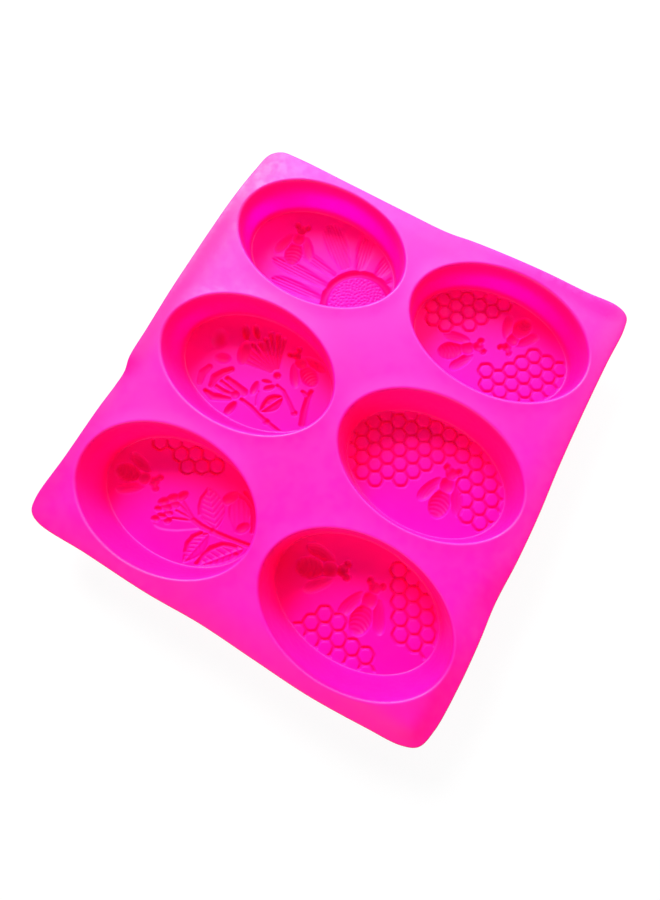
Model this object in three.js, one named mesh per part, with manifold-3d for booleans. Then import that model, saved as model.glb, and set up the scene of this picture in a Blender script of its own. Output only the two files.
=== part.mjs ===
// Silicone soap mould: a thin tray with six oval pockets, each with a picture sunk in its floor.
// Millimetres, +Z up. The origin is on the surface that the tray stands on, under its middle.
// X runs along the ovals' long axes, Y along the three rows, and pictures read with +Y upwards.
import * as THREE from 'three';
import { mergeVertices } from 'three/addons/utils/BufferGeometryUtils.js';
import Module from 'manifold-3d';

const wasm = await Module();
wasm.setup();

// ---- Driving dimensions --------------------------------------------------------------------

const TRAY_HEIGHT = 25; // from the undersides of the pockets to the top of the deck
const DECK_THICKNESS = 2;
const FLOOR_THICKNESS = 3;
const WALL_THICKNESS = 2.1;

const POCKET_HALF_LONG = 40.5; // the oval where the rounded lip turns down into the wall
const POCKET_HALF_SHORT = 28.1;
const POCKET_PITCH_X = 89.7;
const POCKET_PITCH_Y = 65.7;
const POCKET_DRAFT = 2.5; // how far the wall leans in on its way down
const FLOOR_FILLET = 0.6;
const LIP_RADIUS = 1.5;
const LAND_WIDTH = 2.4; // flat ring of deck round each pocket
const UNDERSIDE_ROUNDING = 1.8;

const HONEYCOMB_PITCH = 6.6;
const HONEYCOMB_GROOVE = 1.1;
const HONEYCOMB_DEPTH = 0.8;
const MOTIF_CLEARANCE = 0.3; // between a sunk picture and the foot of the wall

const OVAL_SEGMENTS = 40;
const EDGE_SEGMENTS = 100;
const FILLET_STEPS = 2;

const SILICONE = { color: '#ff1fb4', roughness: 0.42, metalness: 0 };

// The deck's free edge, anticlockwise from the front left corner: x, y and how far the soft
// edge stands above the flat deck or, where negative, hangs below it.
const EDGE_POINTS = [
  [-92.2, -92, 0], [-90.2, -97.6, 0], [-84.5, -99.7, 0],
  [-60, -100.1, 0.3], [-30, -100.4, 0.6], [-5, -99.8, -0.3], [20, -100.3, 0.3], [45, -100.5, 0.5],
  [70, -99.8, -0.8], [84.5, -98.6, -1.8], [89.8, -95.6, -2.2], [91.7, -88, -1.8],
  [92.5, -70, -0.6], [92.6, -52, 0.6], [92, -36, -0.8], [92.7, -18, 0.6], [92.6, 2, 0.3],
  [91.8, 25, 0], [91.4, 50, 0], [91.4, 75, 0.2], [91.5, 92, 0.8], [89.9, 98, 1], [84.5, 100.2, 1],
  [70, 99.8, 0.8], [50, 100.1, 1], [30, 99.4, 0.5], [15, 98.5, -0.4], [3, 98, -1.2],
  [-20, 98.3, -1.6], [-50, 98.6, -1.9], [-78, 98.6, -2.1], [-85.5, 97.8, -2.1], [-89.4, 93.6, -1.9],
  [-90.6, 84, -1.2], [-91.9, 65, 0.5], [-92.4, 45, 0.8], [-92.3, 28, 0.7], [-92.6, 12, 1],
  [-92.2, -8, 0.6], [-91.8, -24, 0.2], [-90.9, -32, -1.4], [-91.4, -48, -0.6], [-92, -72, 0],
];

// ---- Where things are, worked out from the dimensions ---------------------------------------

const DECK_UNDERSIDE = TRAY_HEIGHT - DECK_THICKNESS;
const WALL_TOP_LEAN = (-POCKET_DRAFT * (DECK_THICKNESS - LIP_RADIUS)) / TRAY_HEIGHT;
const WALL_FOOT_LEAN = -POCKET_DRAFT;
const FLOOR_EDGE_LEAN = WALL_FOOT_LEAN - FLOOR_FILLET;
const FLOOR_OUTER_LEAN = WALL_FOOT_LEAN + WALL_THICKNESS;

const COLUMNS = [
  { name: 'left', x: -POCKET_PITCH_X / 2 },
  { name: 'right', x: POCKET_PITCH_X / 2 },
];
const ROWS = [
  { name: 'back', y: POCKET_PITCH_Y },
  { name: 'middle', y: 0 },
  { name: 'front', y: -POCKET_PITCH_Y },
];

// ---- Closed solids lofted from rings ---------------------------------------------------------

// A ring of points on an oval that is `lean` larger than the pocket, at height z.
function ovalRing(centre, lean, z) {
  const ring = [];
  for (let i = 0; i < OVAL_SEGMENTS; i += 1) {
    const turn = (2 * Math.PI * i) / OVAL_SEGMENTS;
    const x = centre.x + (POCKET_HALF_LONG + lean) * Math.cos(turn);
    const y = centre.y + (POCKET_HALF_SHORT + lean) * Math.sin(turn);
    ring.push(new THREE.Vector3(x, y, z));
  }
  return ring;
}

// Collects rings and faces, and turns them into one indexed geometry.
class SolidBuilder {
  constructor() {
    this.points = [];
    this.faces = [];
  }

  addRing(ring) {
    const first = this.points.length;
    this.points.push(...ring);
    return { first, count: ring.length };
  }

  addPoint(point) {
    this.points.push(point);
    return this.points.length - 1;
  }

  // Faces between two rings of equal count. They look outwards where the rings climb anticlockwise.
  addStrip(lower, upper) {
    for (let i = 0; i < lower.count; i += 1) {
      const next = (i + 1) % lower.count;
      const a = lower.first + i;
      const b = lower.first + next;
      const c = upper.first + next;
      const d = upper.first + i;
      this.faces.push(a, b, c, a, c, d);
    }
  }

  addFan(ring, centre, up) {
    for (let i = 0; i < ring.count; i += 1) {
      const a = ring.first + i;
      const b = ring.first + ((i + 1) % ring.count);
      this.faces.push(...(up ? [a, b, centre] : [b, a, centre]));
    }
  }

  geometry() {
    const built = new THREE.BufferGeometry().setFromPoints(this.points);
    built.setIndex(this.faces);
    return built;
  }
}

function quarterTurn(step) {
  return (Math.PI / 2) * (step / FILLET_STEPS);
}

// ---- Pocket walls ----------------------------------------------------------------------------

// The inside of the wall from its fillet at the floor up to the deck's underside.
function wallInside() {
  const profile = [];
  for (let step = 0; step <= FILLET_STEPS; step += 1) {
    const turn = quarterTurn(step);
    const lean = FLOOR_EDGE_LEAN + FLOOR_FILLET * Math.sin(turn);
    profile.push({ lean, z: FLOOR_THICKNESS + FLOOR_FILLET * (1 - Math.cos(turn)) });
  }
  profile.push({ lean: WALL_TOP_LEAN, z: DECK_UNDERSIDE });
  return profile;
}

function pocketWall(centre) {
  const solid = new SolidBuilder();
  const inside = wallInside().map(({ lean, z }) => solid.addRing(ovalRing(centre, lean, z)));
  const outerFoot = solid.addRing(ovalRing(centre, FLOOR_OUTER_LEAN, FLOOR_THICKNESS));
  const outerTop = solid.addRing(ovalRing(centre, WALL_TOP_LEAN + WALL_THICKNESS, DECK_UNDERSIDE));
  for (let i = 1; i < inside.length; i += 1) solid.addStrip(inside[i], inside[i - 1]);
  solid.addStrip(inside[0], outerFoot);
  solid.addStrip(outerFoot, outerTop);
  solid.addStrip(outerTop, inside[inside.length - 1]);
  return solid.geometry();
}

// ---- Deck ------------------------------------------------------------------------------------

// The free edge as a smooth closed curve, `drop` below the deck's top.
function deckEdge(drop) {
  const points = EDGE_POINTS.map(([x, y, rise]) => new THREE.Vector3(x, y, TRAY_HEIGHT + rise));
  const curve = new THREE.CatmullRomCurve3(points, true, 'centripetal');
  const edge = curve.getPoints(EDGE_SEGMENTS);
  edge.pop();
  return edge.map((p) => p.clone().setZ(p.z - drop));
}

// The lip of one pocket, from the flat land round it down to the wall's top.
function lipProfile() {
  const profile = [{ lean: LAND_WIDTH, z: TRAY_HEIGHT }];
  for (let step = FILLET_STEPS; step >= 0; step -= 1) {
    const turn = quarterTurn(step);
    profile.push({
      lean: LIP_RADIUS * (1 - Math.cos(turn)),
      z: TRAY_HEIGHT - LIP_RADIUS * (1 - Math.sin(turn)),
    });
  }
  profile.push({ lean: WALL_TOP_LEAN, z: DECK_UNDERSIDE });
  return profile;
}

function trayDeck(centres) {
  const solid = new SolidBuilder();
  const edgeBottom = solid.addRing(deckEdge(DECK_THICKNESS));
  const edgeTop = solid.addRing(deckEdge(0));
  solid.addStrip(edgeBottom, edgeTop);

  const topLands = [];
  const bottomLands = [];
  for (const centre of centres) {
    const lip = lipProfile().map(({ lean, z }) => solid.addRing(ovalRing(centre, lean, z)));
    const under = solid.addRing(ovalRing(centre, LAND_WIDTH, DECK_UNDERSIDE));
    for (let i = 1; i < lip.length; i += 1) solid.addStrip(lip[i - 1], lip[i]);
    solid.addStrip(lip[lip.length - 1], under);
    topLands.push(lip[0]);
    bottomLands.push(under);
  }

  addSheet(solid, edgeTop, topLands, true);
  addSheet(solid, edgeBottom, bottomLands, false);
  return solid.geometry();
}

// Fills between an outer loop and the lands round the pockets, facing up or down.
function addSheet(solid, outer, lands, up) {
  const flat = (ring) => {
    const points = solid.points.slice(ring.first, ring.first + ring.count);
    return points.map((p) => new THREE.Vector2(p.x, p.y));
  };
  const numbers = (ring) => Array.from({ length: ring.count }, (_, i) => ring.first + i);
  const index = [...numbers(outer), ...lands.flatMap(numbers)];
  for (const [a, b, c] of THREE.ShapeUtils.triangulateShape(flat(outer), lands.map(flat))) {
    const [p, q, r] = [a, b, c].map((n) => solid.points[index[n]]);
    const anticlockwise = (q.x - p.x) * (r.y - p.y) - (q.y - p.y) * (r.x - p.x) > 0;
    const face = [index[a], index[b], index[c]];
    if (anticlockwise !== up) face.reverse();
    solid.faces.push(...face);
  }
}

// ---- Pictures sunk in the floors -------------------------------------------------------------

function toManifold(geometry) {
  const bare = geometry.clone();
  bare.deleteAttribute('normal');
  bare.deleteAttribute('uv');
  const merged = mergeVertices(bare);
  return new wasm.Manifold(new wasm.Mesh({
    numProp: 3,
    vertProperties: new Float32Array(merged.attributes.position.array),
    triVerts: new Uint32Array(merged.index.array),
  }));
}

function fromManifold(solid) {
  const mesh = solid.getMesh();
  const built = new THREE.BufferGeometry();
  built.setAttribute('position', new THREE.BufferAttribute(new Float32Array(mesh.vertProperties), 3));
  built.setIndex(new THREE.BufferAttribute(new Uint32Array(mesh.triVerts), 1));
  return built;
}

// A smooth hollow: x, y of its middle, half length, half width, direction in degrees and depth.
function hollow([x, y, halfLength, halfWidth, degrees, depth]) {
  const shape = new THREE.SphereGeometry(1, 10, 6);
  shape.rotateX(Math.PI / 2);
  shape.scale(halfLength, halfWidth, depth);
  shape.rotateZ(THREE.MathUtils.degToRad(degrees));
  shape.translate(x, y, FLOOR_THICKNESS);
  return toManifold(shape);
}

function hexPrism({ x, y }, acrossFlats, degrees) {
  const radius = acrossFlats / Math.sqrt(3);
  const shape = new THREE.CylinderGeometry(radius, radius, 2 * HONEYCOMB_DEPTH, 6);
  shape.rotateX(Math.PI / 2);
  shape.rotateZ(THREE.MathUtils.degToRad(degrees));
  shape.translate(x, y, FLOOR_THICKNESS);
  return toManifold(shape);
}

// Centres of a patch of cells. Each row is its number, then its first and last column.
function cellCentres({ x, y, rows, degrees = 0 }) {
  const turn = THREE.MathUtils.degToRad(degrees);
  const centres = [];
  for (const [row, first, last] of rows) {
    const shift = Math.abs(row % 2) === 1 ? HONEYCOMB_PITCH / 2 : 0;
    for (let column = first; column <= last; column += 1) {
      const along = shift + column * HONEYCOMB_PITCH;
      const across = (row * HONEYCOMB_PITCH * Math.sqrt(3)) / 2;
      centres.push({
        x: x + along * Math.cos(turn) - across * Math.sin(turn),
        y: y + along * Math.sin(turn) + across * Math.cos(turn),
      });
    }
  }
  return centres;
}

// The groove network of a patch: wide hexagons with narrower ones taken out of them.
function honeycomb(patch) {
  const centres = cellCentres(patch);
  const grown = HONEYCOMB_PITCH + HONEYCOMB_GROOVE;
  const shrunk = HONEYCOMB_PITCH - HONEYCOMB_GROOVE;
  const degrees = patch.degrees ?? 0;
  const field = centres.map((centre) => hexPrism(centre, grown, degrees)).reduce((a, b) => a.add(b));
  return centres.reduce((left, centre) => left.subtract(hexPrism(centre, shrunk, degrees)), field);
}

// A bee seen from above: `x, y` is its waist and `heading` the way its head points, in degrees.
function bee([x, y, heading, size = 1]) {
  const turn = THREE.MathUtils.degToRad(heading);
  const part = (along, across, halfLength, halfWidth, lean, depth) => hollow([
    x + size * (along * Math.cos(turn) - across * Math.sin(turn)),
    y + size * (along * Math.sin(turn) + across * Math.cos(turn)),
    halfLength * size,
    halfWidth * size,
    heading + lean,
    depth,
  ]);
  const parts = [
    part(-4.8, 0, 7, 4.6, 0, 1.8),
    part(3.8, 0, 3.7, 3.5, 0, 1.7),
    part(9.3, 0, 2.8, 2.6, 0, 1.8),
    part(-0.6, 6.6, 7, 2.9, -24, 1.1),
    part(-0.6, -6.6, 7, 2.9, 24, 1.1),
  ];
  return parts.reduce((a, b) => a.add(b));
}

const DAISY = { x: 25.7, y: -10.6, ring: 16.3, ringWidth: 4, ringDepth: 1.7 };
const PETAL_DEPTH = 0.8;

// Each petal: x, y of its base, x, y of its tip and half its width.
const DAISY_PETALS = [
  [9.4, -16.2, -18.5, -18.3, 4.2], [8.6, -9.2, -23.5, -9.2, 4.3], [8.8, -2.6, -13.5, 0.6, 3.7],
  [11.5, 3.4, -8, 20.5, 6.4], [17.6, 5.8, 12.8, 26, 5], [26.6, 6.4, 29, 21, 4.3], [32, 5, 38, 13, 3.2],
];

function daisy() {
  const groove = new THREE.TorusGeometry(DAISY.ring, DAISY.ringWidth / 2, 6, 36);
  groove.scale(1, 1, DAISY.ringDepth / (DAISY.ringWidth / 2));
  groove.translate(DAISY.x, DAISY.y, FLOOR_THICKNESS);
  const petals = DAISY_PETALS.map(([x0, y0, x1, y1, halfWidth]) => {
    const halfLength = Math.hypot(x1 - x0, y1 - y0) / 2;
    const degrees = THREE.MathUtils.radToDeg(Math.atan2(y1 - y0, x1 - x0));
    return hollow([(x0 + x1) / 2, (y0 + y1) / 2, halfLength, halfWidth, degrees, PETAL_DEPTH]);
  });
  return petals.reduce((a, b) => a.add(b), toManifold(groove));
}

// Each picture: bees, honeycomb patches and single hollows for stems, leaves and flower heads.
const PICTURES = {
  back_left: { bees: [[-16.3, 2.6, 103, 0.94]], daisy: true },
  back_right: {
    bees: [[-11.4, -8.2, 37, 0.92], [8.8, 11.1, 260, 0.86]],
    honeycombs: [
      { x: -13.2, y: 5, rows: [[-1, -3, -2], [0, -3, 0], [1, -3, 0], [2, -2, 1], [3, -1, 1]] },
      { x: 13.8, y: -6, rows: [[-2, -1, 1], [-1, -2, 2], [0, 0, 3], [1, 0, 3], [2, 1, 3]] },
    ],
  },
  middle_left: {
    bees: [[18.7, 12, 149, 0.84]],
    hollows: [
      [9.1, 2.9, 1.9, 1.8, 0, 1.8], [-10.4, 5, 5.6, 3, 108, 1.8], [-3.2, 11.6, 3.9, 1.8, 128, 1.7],
      [-3.4, 1.5, 9, 1.2, 4, 0.9], [-1.5, 3.4, 7.5, 1.1, 177, 0.9], [-1.2, 5.8, 7.6, 1.3, 167, 1],
      [1.4, 7.9, 6.2, 1.4, 150, 1.1], [2.5, 11.1, 7.2, 1.5, 133, 1.4], [4.9, 13.1, 7.3, 1.5, 117, 1.4],
      [-15.2, 14.3, 4, 1.9, 128, 1.8], [-10.8, 17, 3.8, 1.7, 135, 1.8], [-24.5, 5.2, 5.6, 4.2, 120, 1.4],
      [-18, -2.3, 4.2, 2.8, 20, 1.4], [-5.8, -10.8, 5.2, 1.8, 171, 1.5], [-3.8, -14.4, 2.6, 2.2, 30, 1.8],
      [-9.3, -14.6, 4.8, 1.2, 174, 1.3], [-11, -19, 6.2, 1.6, 12, 1.5], [-9.5, -12.3, 3.2, 1, 4, 1],
      [-14.6, -9.5, 6, 2, 68, 1.7], [-22, -13.3, 4.4, 2, 90, 1.2], [-2, -21.2, 4.2, 2.1, 80, 1.8],
      [2.9, -7.4, 3.7, 1.8, 97, 1.5], [13.4, -10.2, 6.6, 3.8, 63, 1.4], [6.2, -1.9, 2.6, 1.1, 15, 1.4],
      [8.8, -3.9, 2.9, 1.5, 45, 1.5], [8, -16.4, 8, 1.1, 167, 1.3], [20.5, -19.2, 5.6, 1.1, 172, 1.3],
      [16, -18.4, 1.9, 1.6, 0, 1.7], [18, -4.6, 7.6, 1, 151, 1.2], [25.3, -8.7, 1.6, 1.5, 0, 1.6],
      [29, -3.5, 8, 1.6, 105, 1.6], [25, 1.8, 1.8, 1.1, 166, 1.2],
    ],
  },
  middle_right: {
    bees: [[11.6, -4, 95]],
    honeycombs: [
      {
        x: -5,
        y: 9.6,
        rows: [[-4, -4, -2], [-3, -5, -1], [-3, 4, 5], [-2, -4, 0], [-2, 4, 6], [-1, -5, 0],
          [-1, 3, 6], [0, -4, 1], [0, 4, 6], [1, -4, 5], [2, -3, 4], [3, -3, 3]],
      },
    ],
  },
  front_left: {
    bees: [[-24.4, -0.9, 10, 0.92]],
    honeycombs: [{ x: -12.2, y: 17.3, degrees: 30, rows: [[-1, 0, 2], [0, 0, 2], [1, -2, 0]] }],
    hollows: [
      [-1.1, 1.4, 3.3, 2.1, 62, 1.8], [-4.4, -1.4, 3.1, 2.1, 42, 1.8], [-7.2, -4.6, 2.8, 1.9, 42, 1.8],
      [-2, -3.2, 2.5, 1.8, 20, 1.7], [-4.8, -6.2, 3, 1.8, 20, 1.8], [-7.6, -8.4, 1.9, 1.3, 20, 1.5],
      [-3.4, -9, 3, 1.7, 15, 1.6], [-1, -10.8, 2, 1.6, 40, 1.8], [-6.2, -12.7, 2.2, 1.5, 20, 1.5],
      [5, -2.6, 5, 0.7, 152, 1], [4.8, -5, 5, 0.7, 0, 1], [4.8, -6.9, 5, 0.7, 22, 1],
      [14, -5.1, 6, 1.2, 178, 1.5], [27, -4, 10, 1.2, 6, 1.5], [18.6, -4.9, 2, 1.5, 10, 1.8],
      [13.2, 3.8, 9.6, 5.2, 133, 0.7], [16.3, -14.6, 8.2, 3.8, 79, 0.9], [27.5, -13, 11.2, 5.2, 50, 0.9],
      [13, -13, 5.6, 1.1, 80, 1.4], [24.6, -11.4, 9, 1.2, 52, 1.5], [8, 3.6, 5, 0.9, 110, 1.1],
      [18.4, 11.6, 4.4, 2.6, 60, 1.7], [26, 7, 7, 4.8, 124, 0.7], [30, 3, 3.6, 2.4, 55, 1.8],
      [27, 13.6, 6.5, 1.2, 155, 1.2],
    ],
  },
  front_right: {
    bees: [[-20.1, 4.4, 24], [4.9, -0.6, 94]],
    honeycombs: [
      { x: 0.6, y: -17, rows: [[-1, -3, 2], [0, -2, 2], [1, -2, -1]] },
      { x: 19.5, y: 3.3, rows: [[-1, 0, 2], [0, 0, 2], [1, -1, 2], [2, -1, 2], [3, -2, 0]] },
    ],
  },
};

function picture({ bees = [], honeycombs = [], hollows = [], daisy: hasDaisy = false }) {
  const shapes = [...honeycombs.map(honeycomb), ...hollows.map(hollow), ...bees.map(bee)];
  if (hasDaisy) shapes.push(daisy());
  return shapes.reduce((a, b) => a.add(b));
}

// A closed oval solid from a list of leans and heights, lowest first.
function ovalSolid(profile) {
  const solid = new SolidBuilder();
  const middle = { x: 0, y: 0 };
  const rings = profile.map(({ lean, z }) => solid.addRing(ovalRing(middle, lean, z)));
  for (let i = 1; i < rings.length; i += 1) solid.addStrip(rings[i - 1], rings[i]);
  const lowest = profile[0].z;
  const highest = profile[profile.length - 1].z;
  solid.addFan(rings[0], solid.addPoint(new THREE.Vector3(0, 0, lowest)), false);
  solid.addFan(rings[rings.length - 1], solid.addPoint(new THREE.Vector3(0, 0, highest)), true);
  return solid.geometry();
}

function reliefFloor(name) {
  const plate = ovalSolid([
    { lean: FLOOR_OUTER_LEAN - UNDERSIDE_ROUNDING, z: 0 },
    { lean: FLOOR_OUTER_LEAN - UNDERSIDE_ROUNDING * 0.3, z: UNDERSIDE_ROUNDING * 0.3 },
    { lean: FLOOR_OUTER_LEAN, z: UNDERSIDE_ROUNDING },
    { lean: FLOOR_OUTER_LEAN, z: FLOOR_THICKNESS },
  ]);
  const motifLean = FLOOR_EDGE_LEAN - MOTIF_CLEARANCE;
  const motifArea = ovalSolid([
    { lean: motifLean, z: 0 },
    { lean: motifLean, z: FLOOR_THICKNESS + FLOOR_THICKNESS },
  ]);
  const sunk = picture(PICTURES[name]).intersect(toManifold(motifArea));
  return fromManifold(toManifold(plate).subtract(sunk));
}

// ---- Assembly --------------------------------------------------------------------------------

function addPiece(group, name, geometry, x = 0, y = 0) {
  const piece = new THREE.Mesh(geometry, new THREE.MeshStandardMaterial(SILICONE));
  piece.name = name;
  piece.position.set(x, y, 0);
  group.add(piece);
}

const mould = new THREE.Group();
const centres = ROWS.flatMap((row) => COLUMNS.map((column) => ({ x: column.x, y: row.y })));
addPiece(mould, 'tray_deck', trayDeck(centres));
for (const row of ROWS) {
  for (const column of COLUMNS) {
    const place = `${row.name}_${column.name}`;
    addPiece(mould, `pocket_wall_${place}`, pocketWall({ x: 0, y: 0 }), column.x, row.y);
    addPiece(mould, `relief_floor_${place}`, reliefFloor(place), column.x, row.y);
  }
}

export default mould;
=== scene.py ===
"""Silicone soap mould: the looks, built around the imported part. Lengths here are in millimetres."""

import math

import bpy
import numpy as np
from mathutils import Matrix, Vector
from mathutils.geometry import delaunay_2d_cdt


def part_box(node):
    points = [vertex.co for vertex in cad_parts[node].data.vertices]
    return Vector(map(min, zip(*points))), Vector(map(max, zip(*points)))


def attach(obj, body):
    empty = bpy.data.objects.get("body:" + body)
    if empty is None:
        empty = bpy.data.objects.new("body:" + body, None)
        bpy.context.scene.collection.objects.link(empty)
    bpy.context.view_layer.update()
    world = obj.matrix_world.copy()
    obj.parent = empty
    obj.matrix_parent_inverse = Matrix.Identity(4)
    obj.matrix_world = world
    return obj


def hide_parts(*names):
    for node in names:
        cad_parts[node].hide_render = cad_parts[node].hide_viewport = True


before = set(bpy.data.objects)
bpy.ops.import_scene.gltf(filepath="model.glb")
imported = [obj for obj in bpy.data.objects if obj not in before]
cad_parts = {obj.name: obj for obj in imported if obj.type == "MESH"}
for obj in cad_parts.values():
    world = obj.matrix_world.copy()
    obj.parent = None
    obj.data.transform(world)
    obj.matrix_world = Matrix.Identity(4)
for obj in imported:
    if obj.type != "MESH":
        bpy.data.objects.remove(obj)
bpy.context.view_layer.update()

# ---- Dimensions, as in the part -----------------------------------------------------------------

MM = 0.001
TRAY_HEIGHT = 25.0
DECK_THICKNESS = 2.0
FLOOR_THICKNESS = 3.0
WALL_THICKNESS = 2.1
POCKET_HALF_LONG = 40.5
POCKET_HALF_SHORT = 28.1
POCKET_DRAFT = 2.5
FLOOR_FILLET = 0.6
LIP_RADIUS = 1.5
LAND_WIDTH = 2.4
UNDERSIDE_ROUNDING = 1.8
HONEYCOMB_PITCH = 6.6
HONEYCOMB_GROOVE = 1.25
HONEYCOMB_DEPTH = 1.2
CELL_CORNER_POWER = 8

DECK_UNDERSIDE = TRAY_HEIGHT - DECK_THICKNESS
WALL_TOP_LEAN = -POCKET_DRAFT * (DECK_THICKNESS - LIP_RADIUS) / TRAY_HEIGHT
FLOOR_EDGE_LEAN = -POCKET_DRAFT - FLOOR_FILLET
FLOOR_OUTER_LEAN = -POCKET_DRAFT + WALL_THICKNESS
POCKET_DEPTH = TRAY_HEIGHT - FLOOR_THICKNESS

# The free edge, anticlockwise from the front left corner: x, y and how far it lifts or dips.
EDGE_POINTS = [
    (-91.7, -92, 0), (-89.9, -97.3, 0), (-84.5, -99.9, 0),
    (-60, -100.1, 0.3), (-30, -100.5, 0.6), (-5, -99.8, -0.3), (20, -100.3, 0.3), (45, -100.8, 0.5),
    (70, -99.8, -0.8), (84.5, -98.7, -1.8), (90.5, -95.9, -2.2), (93, -88, -1.8),
    (93.8, -70, -0.6), (93.3, -52, 0.6), (92.7, -36, -0.8), (93, -18, 0.6), (92.9, 2, 0.3),
    (91.8, 25, 0), (91.2, 50, 0), (91.1, 75, 0.2), (91.3, 92, 0.8), (89.8, 98, 1), (84.5, 100.7, 1),
    (70, 100.4, 0.8), (50, 100.4, 1), (30, 99.8, 0.5), (15, 99.1, -0.4), (3, 97.7, -0.6),
    (-20, 97.9, -0.8), (-50, 98.4, -0.9), (-78, 98.6, -0.9), (-85.7, 97.7, -0.9),
    (-90.2, 93.6, -0.8), (-92, 83.8, -0.6), (-93, 65, 0.5), (-93.2, 45, 0.8), (-93.2, 28, 0.7),
    (-92.9, 12, 1), (-92.3, -8, 0.6), (-91.9, -22.5, 0.2), (-90.7, -29, -1.2), (-90.7, -36, -1.4),
    (-91, -48, -0.6), (-91.1, -72, 0),
]

# How the soft tray has settled: each pocket's rim moves by x, y and z, and its floor leans a
# further x and y from under its rim.
SETTLE = {
    "back_left": (-0.5, -0.2, -0.2, -0.6, -1.3),
    "back_right": (-0.9, 0.0, -0.1, 0.5, 0.2),
    "middle_left": (-0.2, 0.2, 0.1, -0.1, 1.7),
    "middle_right": (-0.1, 0.1, -0.3, 0.7, -1.7),
    "front_left": (0.8, -0.1, 0.3, 0.5, 0.5),
    "front_right": (1.1, -0.1, 0.3, -0.5, 1.4),
}

# ---- Visual detail ------------------------------------------------------------------------------

OVAL_SEGMENTS = 224
EDGE_SEGMENTS = 520
EDGE_ROUNDING = 0.7
EDGE_STEPS = 4
LIP_STEPS = 10
FILLET_STEPS = 10
WALL_STEPS = 10
DECK_GRID = 2.4
GRID_CLEARANCE = 1.1
RIM_SWELL = 0.4
RIM_SWELL_WIDTH = 4.16
RIM_SAG_REACH = 12.0
RIM_BLEND_LEAN = 0.2
LAND_STEP = 0.45
EDGE_BEND = 9.0
FLARE = 1.6
FLARE_STEPS = 6
UNDERSIDE_STEPS = 6
POINTS_AT_ONCE = 2000
FLOOR_GRID_X = 290
FLOOR_GRID_Y = 200
PICTURE_END_SHARPNESS = 30
SEED = 7


def centre_of(place):
    low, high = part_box("relief_floor_" + place)
    return np.array([(low.x + high.x) / 2, (low.y + high.y) / 2]) / MM


CENTRES = {place: centre_of(place) for place in SETTLE}


def lean_shift(place, z):
    """How far x and y move at height z."""
    shift_x, shift_y, _, lean_x, lean_y = SETTLE[place]
    share = (TRAY_HEIGHT - np.asarray(z, float)) / POCKET_DEPTH
    return shift_x + lean_x * share, shift_y + lean_y * share


def oval(place, lean, z, segments=OVAL_SEGMENTS):
    turn = np.linspace(0, 2 * math.pi, segments, endpoint=False)
    shift_x, shift_y = lean_shift(place, z)
    x = CENTRES[place][0] + shift_x + (POCKET_HALF_LONG + lean) * np.cos(turn)
    y = CENTRES[place][1] + shift_y + (POCKET_HALF_SHORT + lean) * np.sin(turn)
    return np.column_stack([x, y, np.full(segments, float(z))])


def outside(place, x, y):
    """About how far points lie outside a pocket's rim."""
    dx = x - CENTRES[place][0] - SETTLE[place][0]
    dy = y - CENTRES[place][1] - SETTLE[place][1]
    ratio = np.maximum(np.hypot(dx / POCKET_HALF_LONG, dy / POCKET_HALF_SHORT), 1e-6)
    return np.hypot(dx, dy) * (1 - 1 / ratio)


# ---- Meshes -------------------------------------------------------------------------------------


class MeshBuilder:
    def __init__(self):
        self.points = []
        self.count = 0
        self.faces = []

    def add(self, points):
        first = self.count
        self.points.append(np.asarray(points, float))
        self.count += len(points)
        return np.arange(first, self.count)

    def strip(self, lower, upper):
        """Quads between two closed rings. They face outwards where the rings climb anticlockwise."""
        following = np.roll(np.arange(len(lower)), -1)
        quads = np.column_stack([lower, lower[following], upper[following], upper])
        self.faces.extend(quads.tolist())

    def build(self, name, sharp_angle=40, sharp_rings=()):
        mesh = bpy.data.meshes.new(name)
        mesh.from_pydata((np.concatenate(self.points) * MM).tolist(), [], self.faces)
        mesh.validate()
        mesh.polygons.foreach_set("use_smooth", [True] * len(mesh.polygons))
        if sharp_angle:
            mesh.set_sharp_from_angle(angle=math.radians(sharp_angle))
        for ring in sharp_rings:
            on_ring = np.zeros(len(mesh.vertices), bool)
            on_ring[ring] = True
            ends = np.zeros(len(mesh.edges) * 2, np.int32)
            mesh.edges.foreach_get("vertices", ends)
            sharp = on_ring[ends.reshape(-1, 2)].all(1)
            for index in np.nonzero(sharp)[0]:
                mesh.edges[int(index)].use_edge_sharp = True
        mesh.update()
        piece = bpy.data.objects.new(name, mesh)
        bpy.context.scene.collection.objects.link(piece)
        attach(piece, "root")
        return piece


def catmull_rom(points, count):
    """A closed centripetal Catmull-Rom curve through points, with even steps in each span."""
    points = np.asarray(points, float)
    spans = len(points)
    found = []
    for step in range(count):
        place = step * spans / count
        span = int(place)
        share = place - span
        p0, p1, p2, p3 = (points[(span + k) % spans] for k in (-1, 0, 1, 2))
        spans_around = ((p0, p1), (p1, p2), (p2, p3))
        d0, d1, d2 = (max(np.linalg.norm(b - a), 1e-4) ** 0.5 for a, b in spans_around)
        t1 = (p1 - p0) / d0 - (p2 - p0) / (d0 + d1) + (p2 - p1) / d1
        t2 = (p2 - p1) / d1 - (p3 - p1) / (d1 + d2) + (p3 - p2) / d2
        t1, t2 = t1 * d1, t2 * d1
        s2, s3 = share * share, share**3
        ends = p1 * (2 * s3 - 3 * s2 + 1) + p2 * (3 * s2 - 2 * s3)
        found.append(ends + t1 * (s3 - 2 * s2 + share) + t2 * (s3 - s2))
    return np.array(found)


def smooth_step(value):
    value = np.clip(value, 0, 1)
    return value * value * (3 - 2 * value)


# ---- Deck ---------------------------------------------------------------------------------------

free_edge = catmull_rom(EDGE_POINTS, EDGE_SEGMENTS)


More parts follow.
